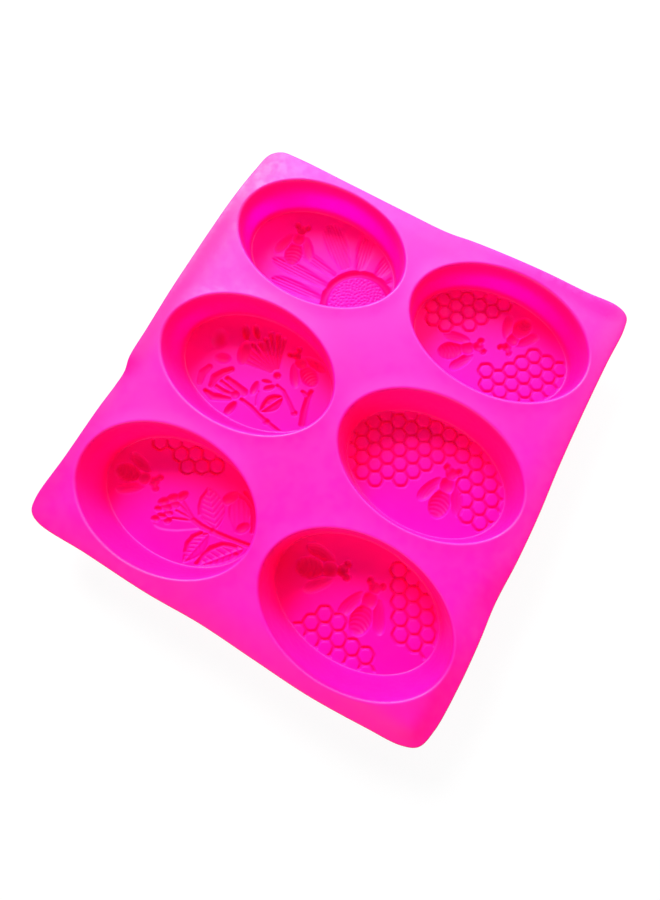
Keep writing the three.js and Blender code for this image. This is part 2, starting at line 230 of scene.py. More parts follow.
def deck_rise(x, y):
    """How far the deck's top stands above its nominal height."""
    x, y = np.asarray(x, float), np.asarray(y, float)
    rise = np.zeros(len(x))
    total = np.full(len(x), 1e-9)
    sag = np.zeros(len(x))
    for place, (_, _, shift_z, _, _) in SETTLE.items():
        out = outside(place, x, y)
        weight = np.exp(-np.maximum(out, 0) / RIM_SAG_REACH)
        sag += weight * shift_z
        total += weight
        rise += RIM_SWELL * np.exp(-((np.maximum(out, 0) / RIM_SWELL_WIDTH) ** 2))
    rise += sag / np.maximum(total, 1)
    for first in range(0, len(x), POINTS_AT_ONCE):
        part = slice(first, first + POINTS_AT_ONCE)
        gap = np.hypot(x[part, None] - free_edge[:, 0], y[part, None] - free_edge[:, 1])
        near = np.argmin(gap, 1)
        away = gap[np.arange(len(near)), near]
        share = smooth_step(1 - away / EDGE_BEND)
        rise[part] = rise[part] * (1 - share) + free_edge[near, 2] * share
    return rise


def inset(curve, distance):
    """A closed curve's x and y, moved inwards."""
    along = np.roll(curve[:, :2], -1, 0) - np.roll(curve[:, :2], 1, 0)
    along /= np.linalg.norm(along, axis=1)[:, None]
    return curve[:, :2] + np.column_stack([-along[:, 1], along[:, 0]]) * distance


def even_grid(low, high, step):
    """Points between two corners, in staggered rows."""
    rows = []
    for k, y in enumerate(np.arange(low[1], high[1], step * math.sqrt(3) / 2)):
        x = np.arange(low[0] + (k % 2) * step / 2, high[0], step)
        rows.append(np.column_stack([x, np.full(len(x), y)]))
    return np.concatenate(rows)


def inside_loop(loop, points):
    """Which points lie inside a closed loop, by crossings."""
    found = np.zeros(len(points), bool)
    following = np.roll(loop, -1, 0)
    for (x1, y1), (x2, y2) in zip(loop, following):
        crosses = (y1 > points[:, 1]) != (y2 > points[:, 1])
        if crosses.any():
            at = (x2 - x1) * (points[:, 1] - y1) / (y2 - y1 if y2 != y1 else 1e-9) + x1
            found ^= crosses & (points[:, 0] < at)
    return found


def make_deck():
    solid = MeshBuilder()
    edge_top = inset(free_edge, EDGE_ROUNDING)
    lands = {place: oval(place, LAND_WIDTH, TRAY_HEIGHT)[:, :2] for place in SETTLE}

    grid = even_grid(free_edge[:, :2].min(0), free_edge[:, :2].max(0), DECK_GRID)
    keep = inside_loop(edge_top, grid)
    for place in SETTLE:
        keep &= outside(place, grid[:, 0], grid[:, 1]) > LAND_WIDTH + GRID_CLEARANCE
    grid = grid[keep]
    gap = np.array([np.hypot(*(edge_top - p).T).min() for p in grid])
    grid = grid[gap > GRID_CLEARANCE]

    loops = [edge_top, *lands.values()]
    points = np.concatenate([*loops, grid])
    edges = []
    first = 0
    for loop in loops:
        edges += [(first + k, first + (k + 1) % len(loop)) for k in range(len(loop))]
        first += len(loop)
    flat = [Vector(p) for p in points]
    cut, _, triangles, origin, _, _ = delaunay_2d_cdt(flat, edges, [], 0, 1e-6)
    source = [found[0] for found in origin]
    cut = np.array([tuple(p) for p in cut])
    middles = np.array([cut[list(t)].mean(0) for t in triangles])
    keep = inside_loop(edge_top, middles)
    for land in lands.values():
        keep &= ~inside_loop(land, middles)
    triangles = [tuple(source[k] for k in t) for t, kept in zip(triangles, keep) if kept]

    rise = deck_rise(points[:, 0], points[:, 1])
    top = solid.add(np.column_stack([points, TRAY_HEIGHT + rise]))
    under = solid.add(np.column_stack([points, DECK_UNDERSIDE + rise]))
    for a, b, c in triangles:
        turn = np.cross(points[b] - points[a], points[c] - points[a])
        if turn < 0:
            b, c = c, b
        solid.faces.append([int(top[a]), int(top[b]), int(top[c])])
        solid.faces.append([int(under[a]), int(under[c]), int(under[b])])

    edge_count = len(edge_top)
    ring = under[:edge_count]
    edge_rise = rise[:edge_count]
    for side, start in ((1, DECK_UNDERSIDE), (-1, TRAY_HEIGHT)):
        for step in range(1, EDGE_STEPS + 1) if side == 1 else range(EDGE_STEPS, 0, -1):
            turn = math.pi / 2 * step / EDGE_STEPS
            line = inset(free_edge, EDGE_ROUNDING * (1 - math.sin(turn)))
            z = start + side * EDGE_ROUNDING * (1 - math.cos(turn)) + edge_rise
            following = solid.add(np.column_stack([line, z]))
            solid.strip(ring, following)
            ring = following
    solid.strip(ring, top[:edge_count])

    first = edge_count
    for place, land in lands.items():
        outer = top[first : first + len(land)]
        below = under[first : first + len(land)]
        land_rise = rise[first : first + len(land)]
        first += len(land)
        profile = [(LAND_WIDTH - LAND_STEP, 0.0)]
        for step in range(LIP_STEPS + 1):
            turn = math.pi / 2 * step / LIP_STEPS
            profile.append((LIP_RADIUS * (1 - math.sin(turn)), LIP_RADIUS * (1 - math.cos(turn))))
        profile.append((WALL_TOP_LEAN, DECK_THICKNESS))
        ring = outer
        for lean, drop in profile:
            line = oval(place, lean, TRAY_HEIGHT - drop)
            share = 1 - smooth_step(np.array(drop / DECK_THICKNESS))
            height = deck_rise(line[:, 0], line[:, 1]) if lean > RIM_BLEND_LEAN else land_rise
            line[:, 2] += height * share
            following = solid.add(line)
            solid.strip(ring, following)
            ring = following
        solid.strip(ring, below)
    return solid.build("deck_skin")


# ---- Pocket walls -------------------------------------------------------------------------------


def make_wall(place):
    solid = MeshBuilder()
    profile = []
    for step in range(FILLET_STEPS + 1):
        turn = math.pi / 2 * step / FILLET_STEPS
        lean = FLOOR_EDGE_LEAN + FLOOR_FILLET * math.sin(turn)
        profile.append((lean, FLOOR_THICKNESS + FLOOR_FILLET * (1 - math.cos(turn))))
    low_lean, low_z = profile[-1]
    for step in range(1, WALL_STEPS + 1):
        share = step / WALL_STEPS
        lean = low_lean + (WALL_TOP_LEAN - low_lean) * share
        profile.append((lean, low_z + (DECK_UNDERSIDE - low_z) * share))
    inner = [solid.add(oval(place, lean, z)) for lean, z in reversed(profile)]
    for above, below in zip(inner, inner[1:]):
        solid.strip(above, below)

    outer = []
    top_lean = WALL_TOP_LEAN + WALL_THICKNESS
    slope = (top_lean - FLOOR_OUTER_LEAN) / (DECK_UNDERSIDE - FLOOR_THICKNESS)
    for step in range(WALL_STEPS + 1):
        z = FLOOR_THICKNESS + (DECK_UNDERSIDE - FLARE - FLOOR_THICKNESS) * step / WALL_STEPS
        outer.append((FLOOR_OUTER_LEAN + slope * (z - FLOOR_THICKNESS), z))
    base_lean = outer[-1][0]
    for step in range(1, FLARE_STEPS + 1):
        turn = math.pi / 2 * step / FLARE_STEPS
        lean = base_lean + FLARE * (1 - math.cos(turn))
        outer.append((lean, DECK_UNDERSIDE - FLARE * (1 - math.sin(turn))))
    ring = inner[-1]
    for lean, z in outer:
        following = solid.add(oval(place, lean, z))
        solid.strip(ring, following)
        ring = following
    solid.strip(ring, inner[0])
    piece = solid.build("wall_skin_" + place)
    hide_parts("pocket_wall_" + place)
    return piece


# ---- Pictures -----------------------------------------------------------------------------------


def leaf_outline(share):
    """A leaf's half width at a share of its length, as a share of its widest: pointed at both ends."""
    return np.sin(math.pi * share**0.85) ** 0.9


def petal_outline(share):
    """The same for a petal, which widens from its base and is rounded at its tip."""
    tip = np.clip((share - 0.6) / 0.4, 0, 1)
    return np.clip(0.55 + 0.9 * share, 0, 1) * np.sqrt(1 - tip**2.4)


class Picture:
    """How deep each point of a floor is sunk. Shapes are given in a pocket's own x and y."""

    def __init__(self, x, y):
        self.x = x
        self.y = y
        self.depth = np.zeros_like(x)

    def local(self, x, y, degrees):
        turn = math.radians(degrees)
        dx, dy = self.x - x, self.y - y
        return dx * math.cos(turn) + dy * math.sin(turn), dy * math.cos(turn) - dx * math.sin(turn)

    def sink(self, depth):
        self.depth = np.maximum(self.depth, depth)

    def bowl(self, x, y, half_length, half_width, degrees, depth, power=0.55):
        along, across = self.local(x, y, degrees)
        left = np.clip(1 - (along / half_length) ** 2 - (across / half_width) ** 2, 0, None)
        self.sink(depth * left**power)

    def stroke(self, points, widths, depth, power=0.55):
        """A line through points, which are (x, y), with half widths at its ends or at each point."""
        points = np.asarray(points, float)
        widths = np.interp(np.linspace(0, 1, len(points)), np.linspace(0, 1, len(widths)), widths)
        ratio = np.full_like(self.x, np.inf)
        for (start, end), (w0, w1) in zip(zip(points, points[1:]), zip(widths, widths[1:])):
            span = end - start
            dx, dy = self.x - start[0], self.y - start[1]
            share = np.clip((dx * span[0] + dy * span[1]) / max(span @ span, 1e-9), 0, 1)
            away = np.hypot(dx - share * span[0], dy - share * span[1])
            ratio = np.minimum(ratio, away / (w0 + (w1 - w0) * share))
        self.sink(depth * np.clip(1 - ratio**2, 0, None) ** power)

    def honeycomb(self, x, y, rows, degrees=0):
        """Cells around x, y. rows holds (row, first column, last column)."""
        along, across = self.local(x, y, degrees)
        away = np.full_like(self.x, np.inf)
        for row, first, last in rows:
            shift = HONEYCOMB_PITCH / 2 if row % 2 else 0
            for column in range(first, last + 1):
                dx = along - shift - column * HONEYCOMB_PITCH
                dy = across - row * HONEYCOMB_PITCH * math.sqrt(3) / 2
                turns = [side * math.pi / 3 for side in range(3)]
                sides = [np.abs(dx * math.cos(turn) + dy * math.sin(turn)) for turn in turns]
                reach = sum(side**CELL_CORNER_POWER for side in sides) ** (1 / CELL_CORNER_POWER)
                away = np.minimum(away, reach)
        off_line = np.abs(away - HONEYCOMB_PITCH / 2)
        groove = smooth_step(1.2 - off_line / (HONEYCOMB_GROOVE * 0.66))
        shoulder = 0.2 * np.clip(1 - off_line / (HONEYCOMB_PITCH / 2), 0, 1) ** 2
        cell = away < HONEYCOMB_PITCH / 2
        self.sink(np.maximum(HONEYCOMB_DEPTH * groove, np.where(cell, shoulder, 0)))

    def blob(self, along, across, at, side, half_length, half_width, depth):
        left = 1 - ((along - at) / half_length) ** 2 - ((across - side) / half_width) ** 2
        self.sink(depth * np.clip(left, 0, None) ** 0.6)

    def bee(self, x, y, heading, size=1.0):
        """A bee seen from above. x, y is its waist and heading the way its head points."""
        along, across = self.local(x, y, heading)
        along, across = along / size, across / size
        for side in (-1, 1):
            turn = math.radians(24 * side)
            u = (along + 0.6) * math.cos(turn) - (across - side * 6.6) * math.sin(turn)
            v = (along + 0.6) * math.sin(turn) + (across - side * 6.6) * math.cos(turn)
            width = 2.8 + 0.5 * np.clip(-u / 7, -1, 1)
            left = np.clip(1 - (u / 7.2) ** 2 - (v / width) ** 2, 0, None)
            veins = 0.04 * np.cos((v + 0.05 * u * u) * math.pi / 0.7) * smooth_step(left * 2)
            self.sink(np.where(left > 0, 1.4 * left**0.5 + veins, 0))
        half_width = 4.8 - 0.03 * np.clip(along + 5, 0, None) ** 2
        left = 1 - ((along + 4.8) / 7.0) ** 2 - (across / np.maximum(half_width, 3)) ** 2
        left = np.clip(left, 0, None)
        bands = 0.12 * np.cos(2 * math.pi * (along + 0.1 * across**2) / 2.0) * smooth_step(left * 3)
        self.sink(np.where(left > 0, 2.2 * left**0.5 + bands, 0))
        self.blob(along, across, 3.8, 0, 3.7, 3.5, 2.0)
        self.blob(along, across, 9.3, 0, 2.8, 2.6, 2.1)
        for side in (-1, 1):
            self.blob(along, across, 11.4, side * 2.9, 1.9, 1.7, 1.9)
            self.blob(along, across, 10.4, side * 1.8, 1.8, 1.4, 1.7)

    def plate(self, base, tip, half_width, outline):
        """For a leaf or petal from base to tip: how far along, across and inside it, and its length."""
        base, tip = np.asarray(base, float), np.asarray(tip, float)
        length = float(np.hypot(*(tip - base)))
        heading = math.degrees(math.atan2(*(tip - base)[::-1]))
        along, across = self.local(base[0], base[1], heading)
        share = np.clip(along / length, 0, 1)
        inside = half_width * outline(share) - np.abs(across)
        inside = np.where((along > 0) & (along < length), inside, -1)
        return share, across, inside, length

    def leaf(self, base, tip, half_width, depth=0.8, veins=5, rib=0.35, vein_depth=0.16):
        """A leaf with a raised rib and sunk veins, deepest along its outline."""
        share, across, inside, length = self.plate(base, tip, half_width, leaf_outline)
        body = depth * smooth_step(inside / 0.8) + 0.25 * np.exp(-(((inside - 0.9) / 0.6) ** 2))
        chevrons = np.cos(2 * math.pi * veins * (share - np.abs(across) / length * 0.8))
        body += vein_depth * smooth_step(inside / 1.4) * np.clip(chevrons - 0.3, 0, 1)
        body -= rib * np.exp(-((across / 0.55) ** 2))
        self.sink(np.where(inside > 0, np.clip(body, 0, None), 0))

    def petal(self, base, tip, half_width, depth, pitch=1.5, furrow=0.12, tilt=0.0, soft=1.2):
        """A furrowed petal. With tilt it is deeper on its left, seen from its base, than on its right."""
        share, across, inside, _ = self.plate(base, tip, half_width, petal_outline)
        lines = furrow * (0.3 + share) * np.cos(2 * math.pi * across / pitch)
        lines = lines * smooth_step(inside / 1.5)
        body = depth * (1 + tilt * across / half_width) * smooth_step(inside / soft)
        self.sink(np.where(inside > 0, body + lines, 0))

    def daisy(self, x, y, ring, ring_width, ring_depth):
        dx, dy = self.x - x, self.y - y
        away = np.hypot(dx, dy)
        inner = ring - ring_width / 2
        groove = np.clip(1 - ((away - ring) / (ring_width / 2)) ** 2, 0, None) ** 0.6
        self.sink(ring_depth * groove)
        disc = 0.15 * smooth_step((inner + 0.8 - away) / 3)
        jitter = np.random.default_rng(SEED)
        seeds = np.zeros_like(away)
        for n in range(1, 400):
            radius = 0.9 * math.sqrt(n) + jitter.uniform(-0.25, 0.25)
            if radius > inner - 0.2:
                continue
            turn = n * math.pi * (3 - math.sqrt(5)) + jitter.uniform(-0.4, 0.4) / radius
            gap = np.hypot(dx - radius * math.cos(turn), dy - radius * math.sin(turn))
            seeds = np.maximum(seeds, np.clip(1 - (gap / 0.6) ** 2, 0, None))
        self.sink(disc + 0.3 * seeds)


def picture_back_left(pic):
    for base, tip, half_width, tilt in [
        ((9.4, -16.2), (-18.5, -18.3), 4.2, -0.5), ((8.6, -9.2), (-23.5, -9.2), 4.3, -0.35),
        ((8.8, -2.6), (-13.5, 0.6), 3.7, -0.35), ((11.5, 3.4), (-8, 20.5), 6.4, -0.2),
        ((17.6, 5.8), (12.8, 26), 5.0, 0.45), ((26.6, 6.4), (29, 21), 4.3, 0.45),
        ((32, 5), (38, 13), 3.2, 0.4),
    ]:
        pic.petal(base, tip, half_width, 0.6, 1.5, 0.15, tilt, 2.4)
    pic.daisy(25.7, -10.6, 16.3, 4.0, 1.7)
    pic.bee(-16.3, 2.6, 103, 0.94)


def picture_back_right(pic):
    pic.honeycomb(-13.2, 5, [(-1, -3, -2), (0, -3, 0), (1, -3, 0), (2, -2, 1), (3, -1, 1)])
    pic.honeycomb(13.8, -6, [(-2, -1, 1), (-1, -2, 2), (0, 0, 3), (1, 0, 3), (2, 1, 3)])
    pic.bee(-11.4, -8.2, 37, 0.92)
    pic.bee(8.8, 11.1, 260, 0.86)


def picture_middle_left(pic):
    pic.bee(18.7, 12, 149, 0.84)
    # The open flower: petals fanned from its eye.
    eye = np.array([8.4, 3.4])
    pic.bowl(9.1, 2.9, 1.9, 1.8, 0, 1.8)
    pic.bowl(-10.4, 5, 6.2, 3.4, 108, 2.0)
    pic.bowl(-3.2, 11.6, 3.9, 1.8, 128, 1.7)
    for degrees, reach, depth in [
        (186, 17, 1.3), (177, 19, 1.5), (168, 20, 1.6), (158, 19, 1.6), (147, 17, 1.5), (137, 18, 1.6),
        (128, 20, 1.5), (118, 19, 1.6), (109, 17, 1.4),
    ]:
        away = np.array([math.cos(math.radians(degrees)), math.sin(math.radians(degrees))])
        pic.stroke([eye + 3 * away, eye + reach * away], (0.7, 1.45), depth)
    pic.bowl(-15.2, 14.3, 4.0, 1.9, 128, 1.9)
    pic.bowl(-10.8, 17, 3.8, 1.7, 135, 1.8)
    pic.bowl(-24.5, 5.2, 5.6, 4.2, 120, 1.5, 1.2)
    pic.bowl(-18, -2.3, 4.2, 2.8, 20, 1.5, 0.8)
    # The half-open flower below it.
    pic.stroke([(-0.6, -11.6), (-5, -10.6), (-11, -9.6)], (2.2, 1.3), 1.6)
    pic.bowl(-3.8, -14.4, 2.8, 2.4, 30, 2.1)
    pic.stroke([(-4.6, -15), (-9, -15.8), (-14, -15.4)], (1.5, 1.1), 1.4)
    pic.stroke([(-5, -17.4), (-9.5, -19.2), (-12.5, -20.4), (-17, -19.6)], (1.4, 1.8, 1.9, 1.1), 1.6)
    pic.stroke([(-5.6, -13.3), (-13, -12.2)], (1.2, 1.0), 1.3)
    pic.stroke([(-11.6, -5), (-14.2, -8), (-16.2, -12), (-16, -16)], (1.6, 1.9, 2.2, 1.4), 1.7)
    pic.stroke([(-21.4, -9), (-22.6, -13), (-21.4, -17.5)], (1.6, 2.1, 1.5), 1.2)
    # Leaves, sepals and stems.
    pic.bowl(-2, -21.2, 4.2, 2.1, 80, 1.8)
    pic.bowl(2.9, -7.4, 3.7, 1.8, 97, 1.5)
    pic.stroke([(5.2, -8), (6.2, -11), (7.6, -14)], (0.6, 0.5), 0.6)
    pic.leaf((16.4, -4.3), (10.4, -16.2), 4.1, 1.5, 4, 1.1)
    pic.bowl(6.2, -1.9, 2.6, 1.1, 15, 1.4)
    pic.bowl(8.8, -3.9, 2.9, 1.5, 45, 1.5)
    pic.stroke([(0.3, -15), (6, -15.8), (11, -17.3), (15.6, -18.3), (20, -19), (26, -20)], (1.0, 1.1), 1.3)
    pic.bowl(16, -18.4, 1.9, 1.6, 0, 1.7)
    pic.stroke([(11.5, -1.2), (15.5, -2), (20, -5), (25, -8.6)], (0.8, 1.0), 1.2)
    pic.bowl(25.3, -8.7, 1.6, 1.5, 0, 1.6)
    pic.stroke([(27, 4), (27.3, 0), (28.6, -5), (31, -11.4)], (1.2, 1.6, 1.7), 1.6)
    pic.stroke([(23.4, 2.1), (26.6, 1.3)], (0.9, 1.1), 1.2)


def picture_middle_right(pic):
    pic.honeycomb(-5, 9.6, [
        (-4, -4, -2), (-3, -5, -1), (-3, 4, 5), (-2, -4, 0), (-2, 4, 6), (-1, -5, 0),
        (-1, 3, 6), (0, -4, 1), (0, 4, 6), (1, -4, 5), (2, -3, 4), (3, -3, 3),
    ])
    pic.bee(11.6, -4, 95)


def picture_front_left(pic):
    pic.honeycomb(-12.2, 17.3, [(-1, 0, 2), (0, 0, 2), (1, -2, 0)], 30)
    pic.bee(-24.4, -0.9, 10, 0.92)
    # The flower head: a cluster of small florets on rays that meet in a stem.
    pic.petal((14, -5), (-6, -15), 3.0, 0.45, 9, 0)
    for x, y, half_length, half_width, degrees, depth in [
        (-1.1, 1.4, 3.3, 2.1, 62, 1.9), (-4.4, -1.4, 3.1, 2.1, 42, 1.8), (-7.2, -4.6, 2.8, 1.9, 42, 1.8),
        (-2, -3.2, 2.5, 1.8, 20, 1.7), (-4.8, -6.2, 3.0, 1.8, 20, 1.8), (-7.6, -8.4, 1.9, 1.3, 20, 1.5),
        (-2.4, -7.8, 2.2, 1.3, 15, 1.6), (-4.3, -10.2, 2.5, 1.2, 15, 1.5), (-1, -10.8, 2.0, 1.6, 40, 1.8),
        (-6.2, -12.7, 2.2, 1.5, 20, 1.5),
    ]:
        pic.bowl(x, y, half_length, half_width, degrees, depth)
    for start in [(0.5, -0.3), (0.4, -2.4), (0, -5.1), (0.2, -8.8)]:
        pic.stroke([start, (9.5, -5)], (0.6, 0.8), 1.0)
    pic.stroke([(8.5, -4.9), (13, -5.3), (18.5, -5), (25, -4.1), (31, -3.1), (36.5, -2)], (1.3, 1.1), 1.5)
    pic.bowl(18.6, -4.9, 2.0, 1.5, 10, 1.8)
    # Leaves, with an outline that is deeper on the side away from the stem.
    pic.leaf((20, -3.4), (6.4, 11), 6.2, 0.5, 8, 0.3, 0.35)
    pic.stroke([(7.2, 8.4), (6.9, 5), (8, 1.6), (10, -1.2)], (0.7, 0.9), 1.1)
    pic.leaf((18, -6.2), (14.6, -23), 4.4, 0.6, 8, 0.4, 0.35)
    pic.stroke([(15, -7.8), (12.6, -11), (12, -14.6), (13, -18)], (0.8, 1.2, 0.8), 1.4)
    pic.leaf((35, -4.2), (20, -22), 6.2, 0.6, 8, 0.4, 0.35)
    pic.stroke([(31.5, -5.6), (25.6, -7.4), (22.2, -11.4), (20.6, -15.6), (20.2, -20)], (0.8, 1.3, 0.9), 1.5)
    pic.bowl(33.5, -8.2, 1.6, 1.3, 30, 1.3)
    # The second flower, partly behind the wall.
    pic.bowl(18.4, 11.6, 4.4, 2.6, 60, 1.7)
    pic.petal((30, 1), (22, 13), 5.4, 0.6, 2.2, 0.12)
    pic.bowl(30, 3, 3.6, 2.4, 55, 1.9)
    for points in [
        [(19.5, 14.6), (24.5, 14.4), (29, 12.4)], [(23, 17), (28, 14.6), (32.6, 9.6)],
        [(29.5, 11.6), (32.6, 8), (34.6, 3.6)],
    ]:
        pic.stroke(points, (1.2, 1.0), 1.2)


def picture_front_right(pic):
    pic.honeycomb(0.6, -17, [(-1, -3, 2), (0, -2, 2), (1, -2, -1)])
    pic.honeycomb(19.5, 3.3, [(-1, 0, 2), (0, 0, 2), (1, -1, 2), (2, -1, 2), (3, -2, 0)])
    pic.bee(-20.1, 4.4, 24)
    pic.bee(4.9, -0.6, 94)


PICTURES = {
    "back_left": picture_back_left,
    "back_right": picture_back_right,
    "middle_left": picture_middle_left,
    "middle_right": picture_middle_right,
    "front_left": picture_front_left,
    "front_right": picture_front_right,
}


def make_floor(place):
    u, v = np.meshgrid(np.linspace(-1, 1, FLOOR_GRID_X + 1), np.linspace(-1, 1, FLOOR_GRID_Y + 1))
    half_long = POCKET_HALF_LONG + FLOOR_OUTER_LEAN
    half_short = POCKET_HALF_SHORT + FLOOR_OUTER_LEAN
    x = half_long * (u * np.sqrt(1 - v * v / 2)).ravel()
    y = half_short * (v * np.sqrt(1 - u * u / 2)).ravel()

    pic = Picture(x, y)
    PICTURES[place](pic)
    ratio = np.hypot(x / (POCKET_HALF_LONG + FLOOR_EDGE_LEAN), y / (POCKET_HALF_SHORT + FLOOR_EDGE_LEAN))
    depth = pic.depth * smooth_step((1 - ratio) * PICTURE_END_SHARPNESS)

    z = FLOOR_THICKNESS - depth
    shift_x, shift_y = lean_shift(place, z)
    centre = CENTRES[place]
    solid = MeshBuilder()
    top = solid.add(np.column_stack([centre[0] + x + shift_x, centre[1] + y + shift_y, z]))
    index = top.reshape(FLOOR_GRID_Y + 1, FLOOR_GRID_X + 1)
    quads = np.stack([index[:-1, :-1], index[:-1, 1:], index[1:, 1:], index[1:, :-1]], -1)
    solid.faces.extend(quads.reshape(-1, 4).tolist())

    rim = np.concatenate([index[0, :-1], index[:-1, -1], index[-1, :0:-1], index[:0:-1, 0]])
    rim_x, rim_y = x[rim], y[rim]
    ring = rim
    for step in range(UNDERSIDE_STEPS + 1):
        turn = math.pi / 2 * step / UNDERSIDE_STEPS
        narrow = UNDERSIDE_ROUNDING * (1 - math.cos(turn))
        z = UNDERSIDE_ROUNDING * (1 - math.sin(turn))
        shift_x, shift_y = lean_shift(place, z)
        px = centre[0] + rim_x * (half_long - narrow) / half_long + shift_x
        py = centre[1] + rim_y * (half_short - narrow) / half_short + shift_y
        following = solid.add(np.column_stack([px, py, np.full(len(px), z)]))
        solid.strip(following, ring)
        ring = following
    solid.faces.append(ring[::-1].tolist())
    piece = solid.build("relief_skin_" + place, 0, [rim, ring])
    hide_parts("relief_floor_" + place)
    return piece


# ---- Materials ----------------------------------------------------------------------------------

DECK_PINK = ((0.98, 0.001, 0.365), (0.97, 0.001, 0.34))
WALL_PINK = ((0.98, 0.001, 0.36), (0.97, 0.001, 0.335))
RELIEF_PINK = ((0.98, 0.001, 0.355), (0.97, 0.001, 0.33))
PATCH_SCALE = 22
ROUGHNESS_RANGE = (0.45, 0.56)
ROUGHNESS_SCALE = 260
REFRACTION = 1.41
HAZE = (1.0, 0.3, 1.0)
HAZE_ROUGHNESS = 0.5
# Every silicone look glows faintly red in this colour: painted light that stands in for light scattered
# inside the silicone, and lifts the shade in the pockets.
PAINTED_SCATTER_GLOW = (1.0, 0.0, 0.03)
# The fine grain of the moulding, then its slow waves: noise scale, noise detail and bump distance.
GRAIN = (2200, 2, 0.00006)
WAVES = (45, 1, 0.0004)
WAVE_STRENGTH = 0.014

# What lies sunk below a pocket's floor, from the first height to the second, is painted redder and darker as
# shade in the recesses, and is duller, with less shine and sheen.
SUNK_SHADE_PINK = (0.86, 0.0006, 0.185)
SUNK_SHADE_RANGE = (1.2, 2.9)
SUNK_SHINE = 0.4

# Painted shade: the deck is made redder and darker between these shares of the way to its sides and its
# front, where less light falls.
EDGE_SHADE_PINK = (0.97, 0.001, 0.27)
EDGE_SHADE_RANGE = (0.84, 1.0)
TRAY_HALF_X = 92
TRAY_HALF_Y = 100

# A wall lets light through between these heights. It fades in over the first and out over the last.
GLOW = (1.0, 0.001, 1.0)
GLOW_STARTS = (3.2, 8.0)
GLOW_ENDS = (14.0, 25.0)
# How much light each pocket's wall lets through: most in the back row, least on the right. The light that
# comes through is real lamp light, but these amounts differ by place only to make some walls lighter and
# others darker: partly painted light and shade.
WALL_GLOW = {
    "back_left": 0.5,
    "back_right": 0.4,
    "middle_left": 0.32,
    "middle_right": 0.06,
    "front_left": 0.2,
    "front_right": 0.08,
}


class NodeMaker:
    """Adds nodes to a material. A value is a number, a colour or another node's output."""

    def __init__(self, material):
        material.use_nodes = True
        self.nodes = material.node_tree.nodes
        self.links = material.node_tree.links
        self.place = self.nodes.new("ShaderNodeTexCoord").outputs["Object"]

    def feed(self, socket, value):
        if isinstance(value, bpy.types.NodeSocket):
            self.links.new(value, socket)
        elif isinstance(value, tuple):
            socket.default_value = (*value, 1)
        else:
            socket.default_value = value

    def noise(self, scale, detail=2.0):
        node = self.nodes.new("ShaderNodeTexNoise")
        self.feed(node.inputs["Scale"], scale)
        self.feed(node.inputs["Detail"], detail)
        self.feed(node.inputs["Vector"], self.place)
        return node.outputs["Fac"]

    def ramp(self, source, span, first, last):
        """Goes smoothly from first to last while source goes over span."""
        node = self.nodes.new("ShaderNodeMapRange")
        node.interpolation_type = "SMOOTHSTEP"
        names = ("Value", "From Min", "From Max", "To Min", "To Max")
        for name, value in zip(names, (source, *span, first, last)):
            self.feed(node.inputs[name], value)
        return node.outputs["Result"]

    def blend(self, share, first, last):
        node = self.nodes.new("ShaderNodeMix")
        node.data_type = "RGBA"
        for name, value in (("Factor", share), ("A", first), ("B", last)):
            self.feed(node.inputs[name], value)
        return node.outputs["Result"]

    def calculate(self, operation, *values):
        node = self.nodes.new("ShaderNodeMath")
        node.operation = operation
        for socket, value in zip(node.inputs, values):
            self.feed(socket, value)
        return node.outputs["Value"]

    def bump(self, scale, detail, distance, strength):
        node = self.nodes.new("ShaderNodeBump")
        self.feed(node.inputs["Strength"], strength)
        self.feed(node.inputs["Distance"], distance)
        self.feed(node.inputs["Height"], self.noise(scale, detail))
        return node


def in_metres(span):
    return tuple(end * MM for end in span)


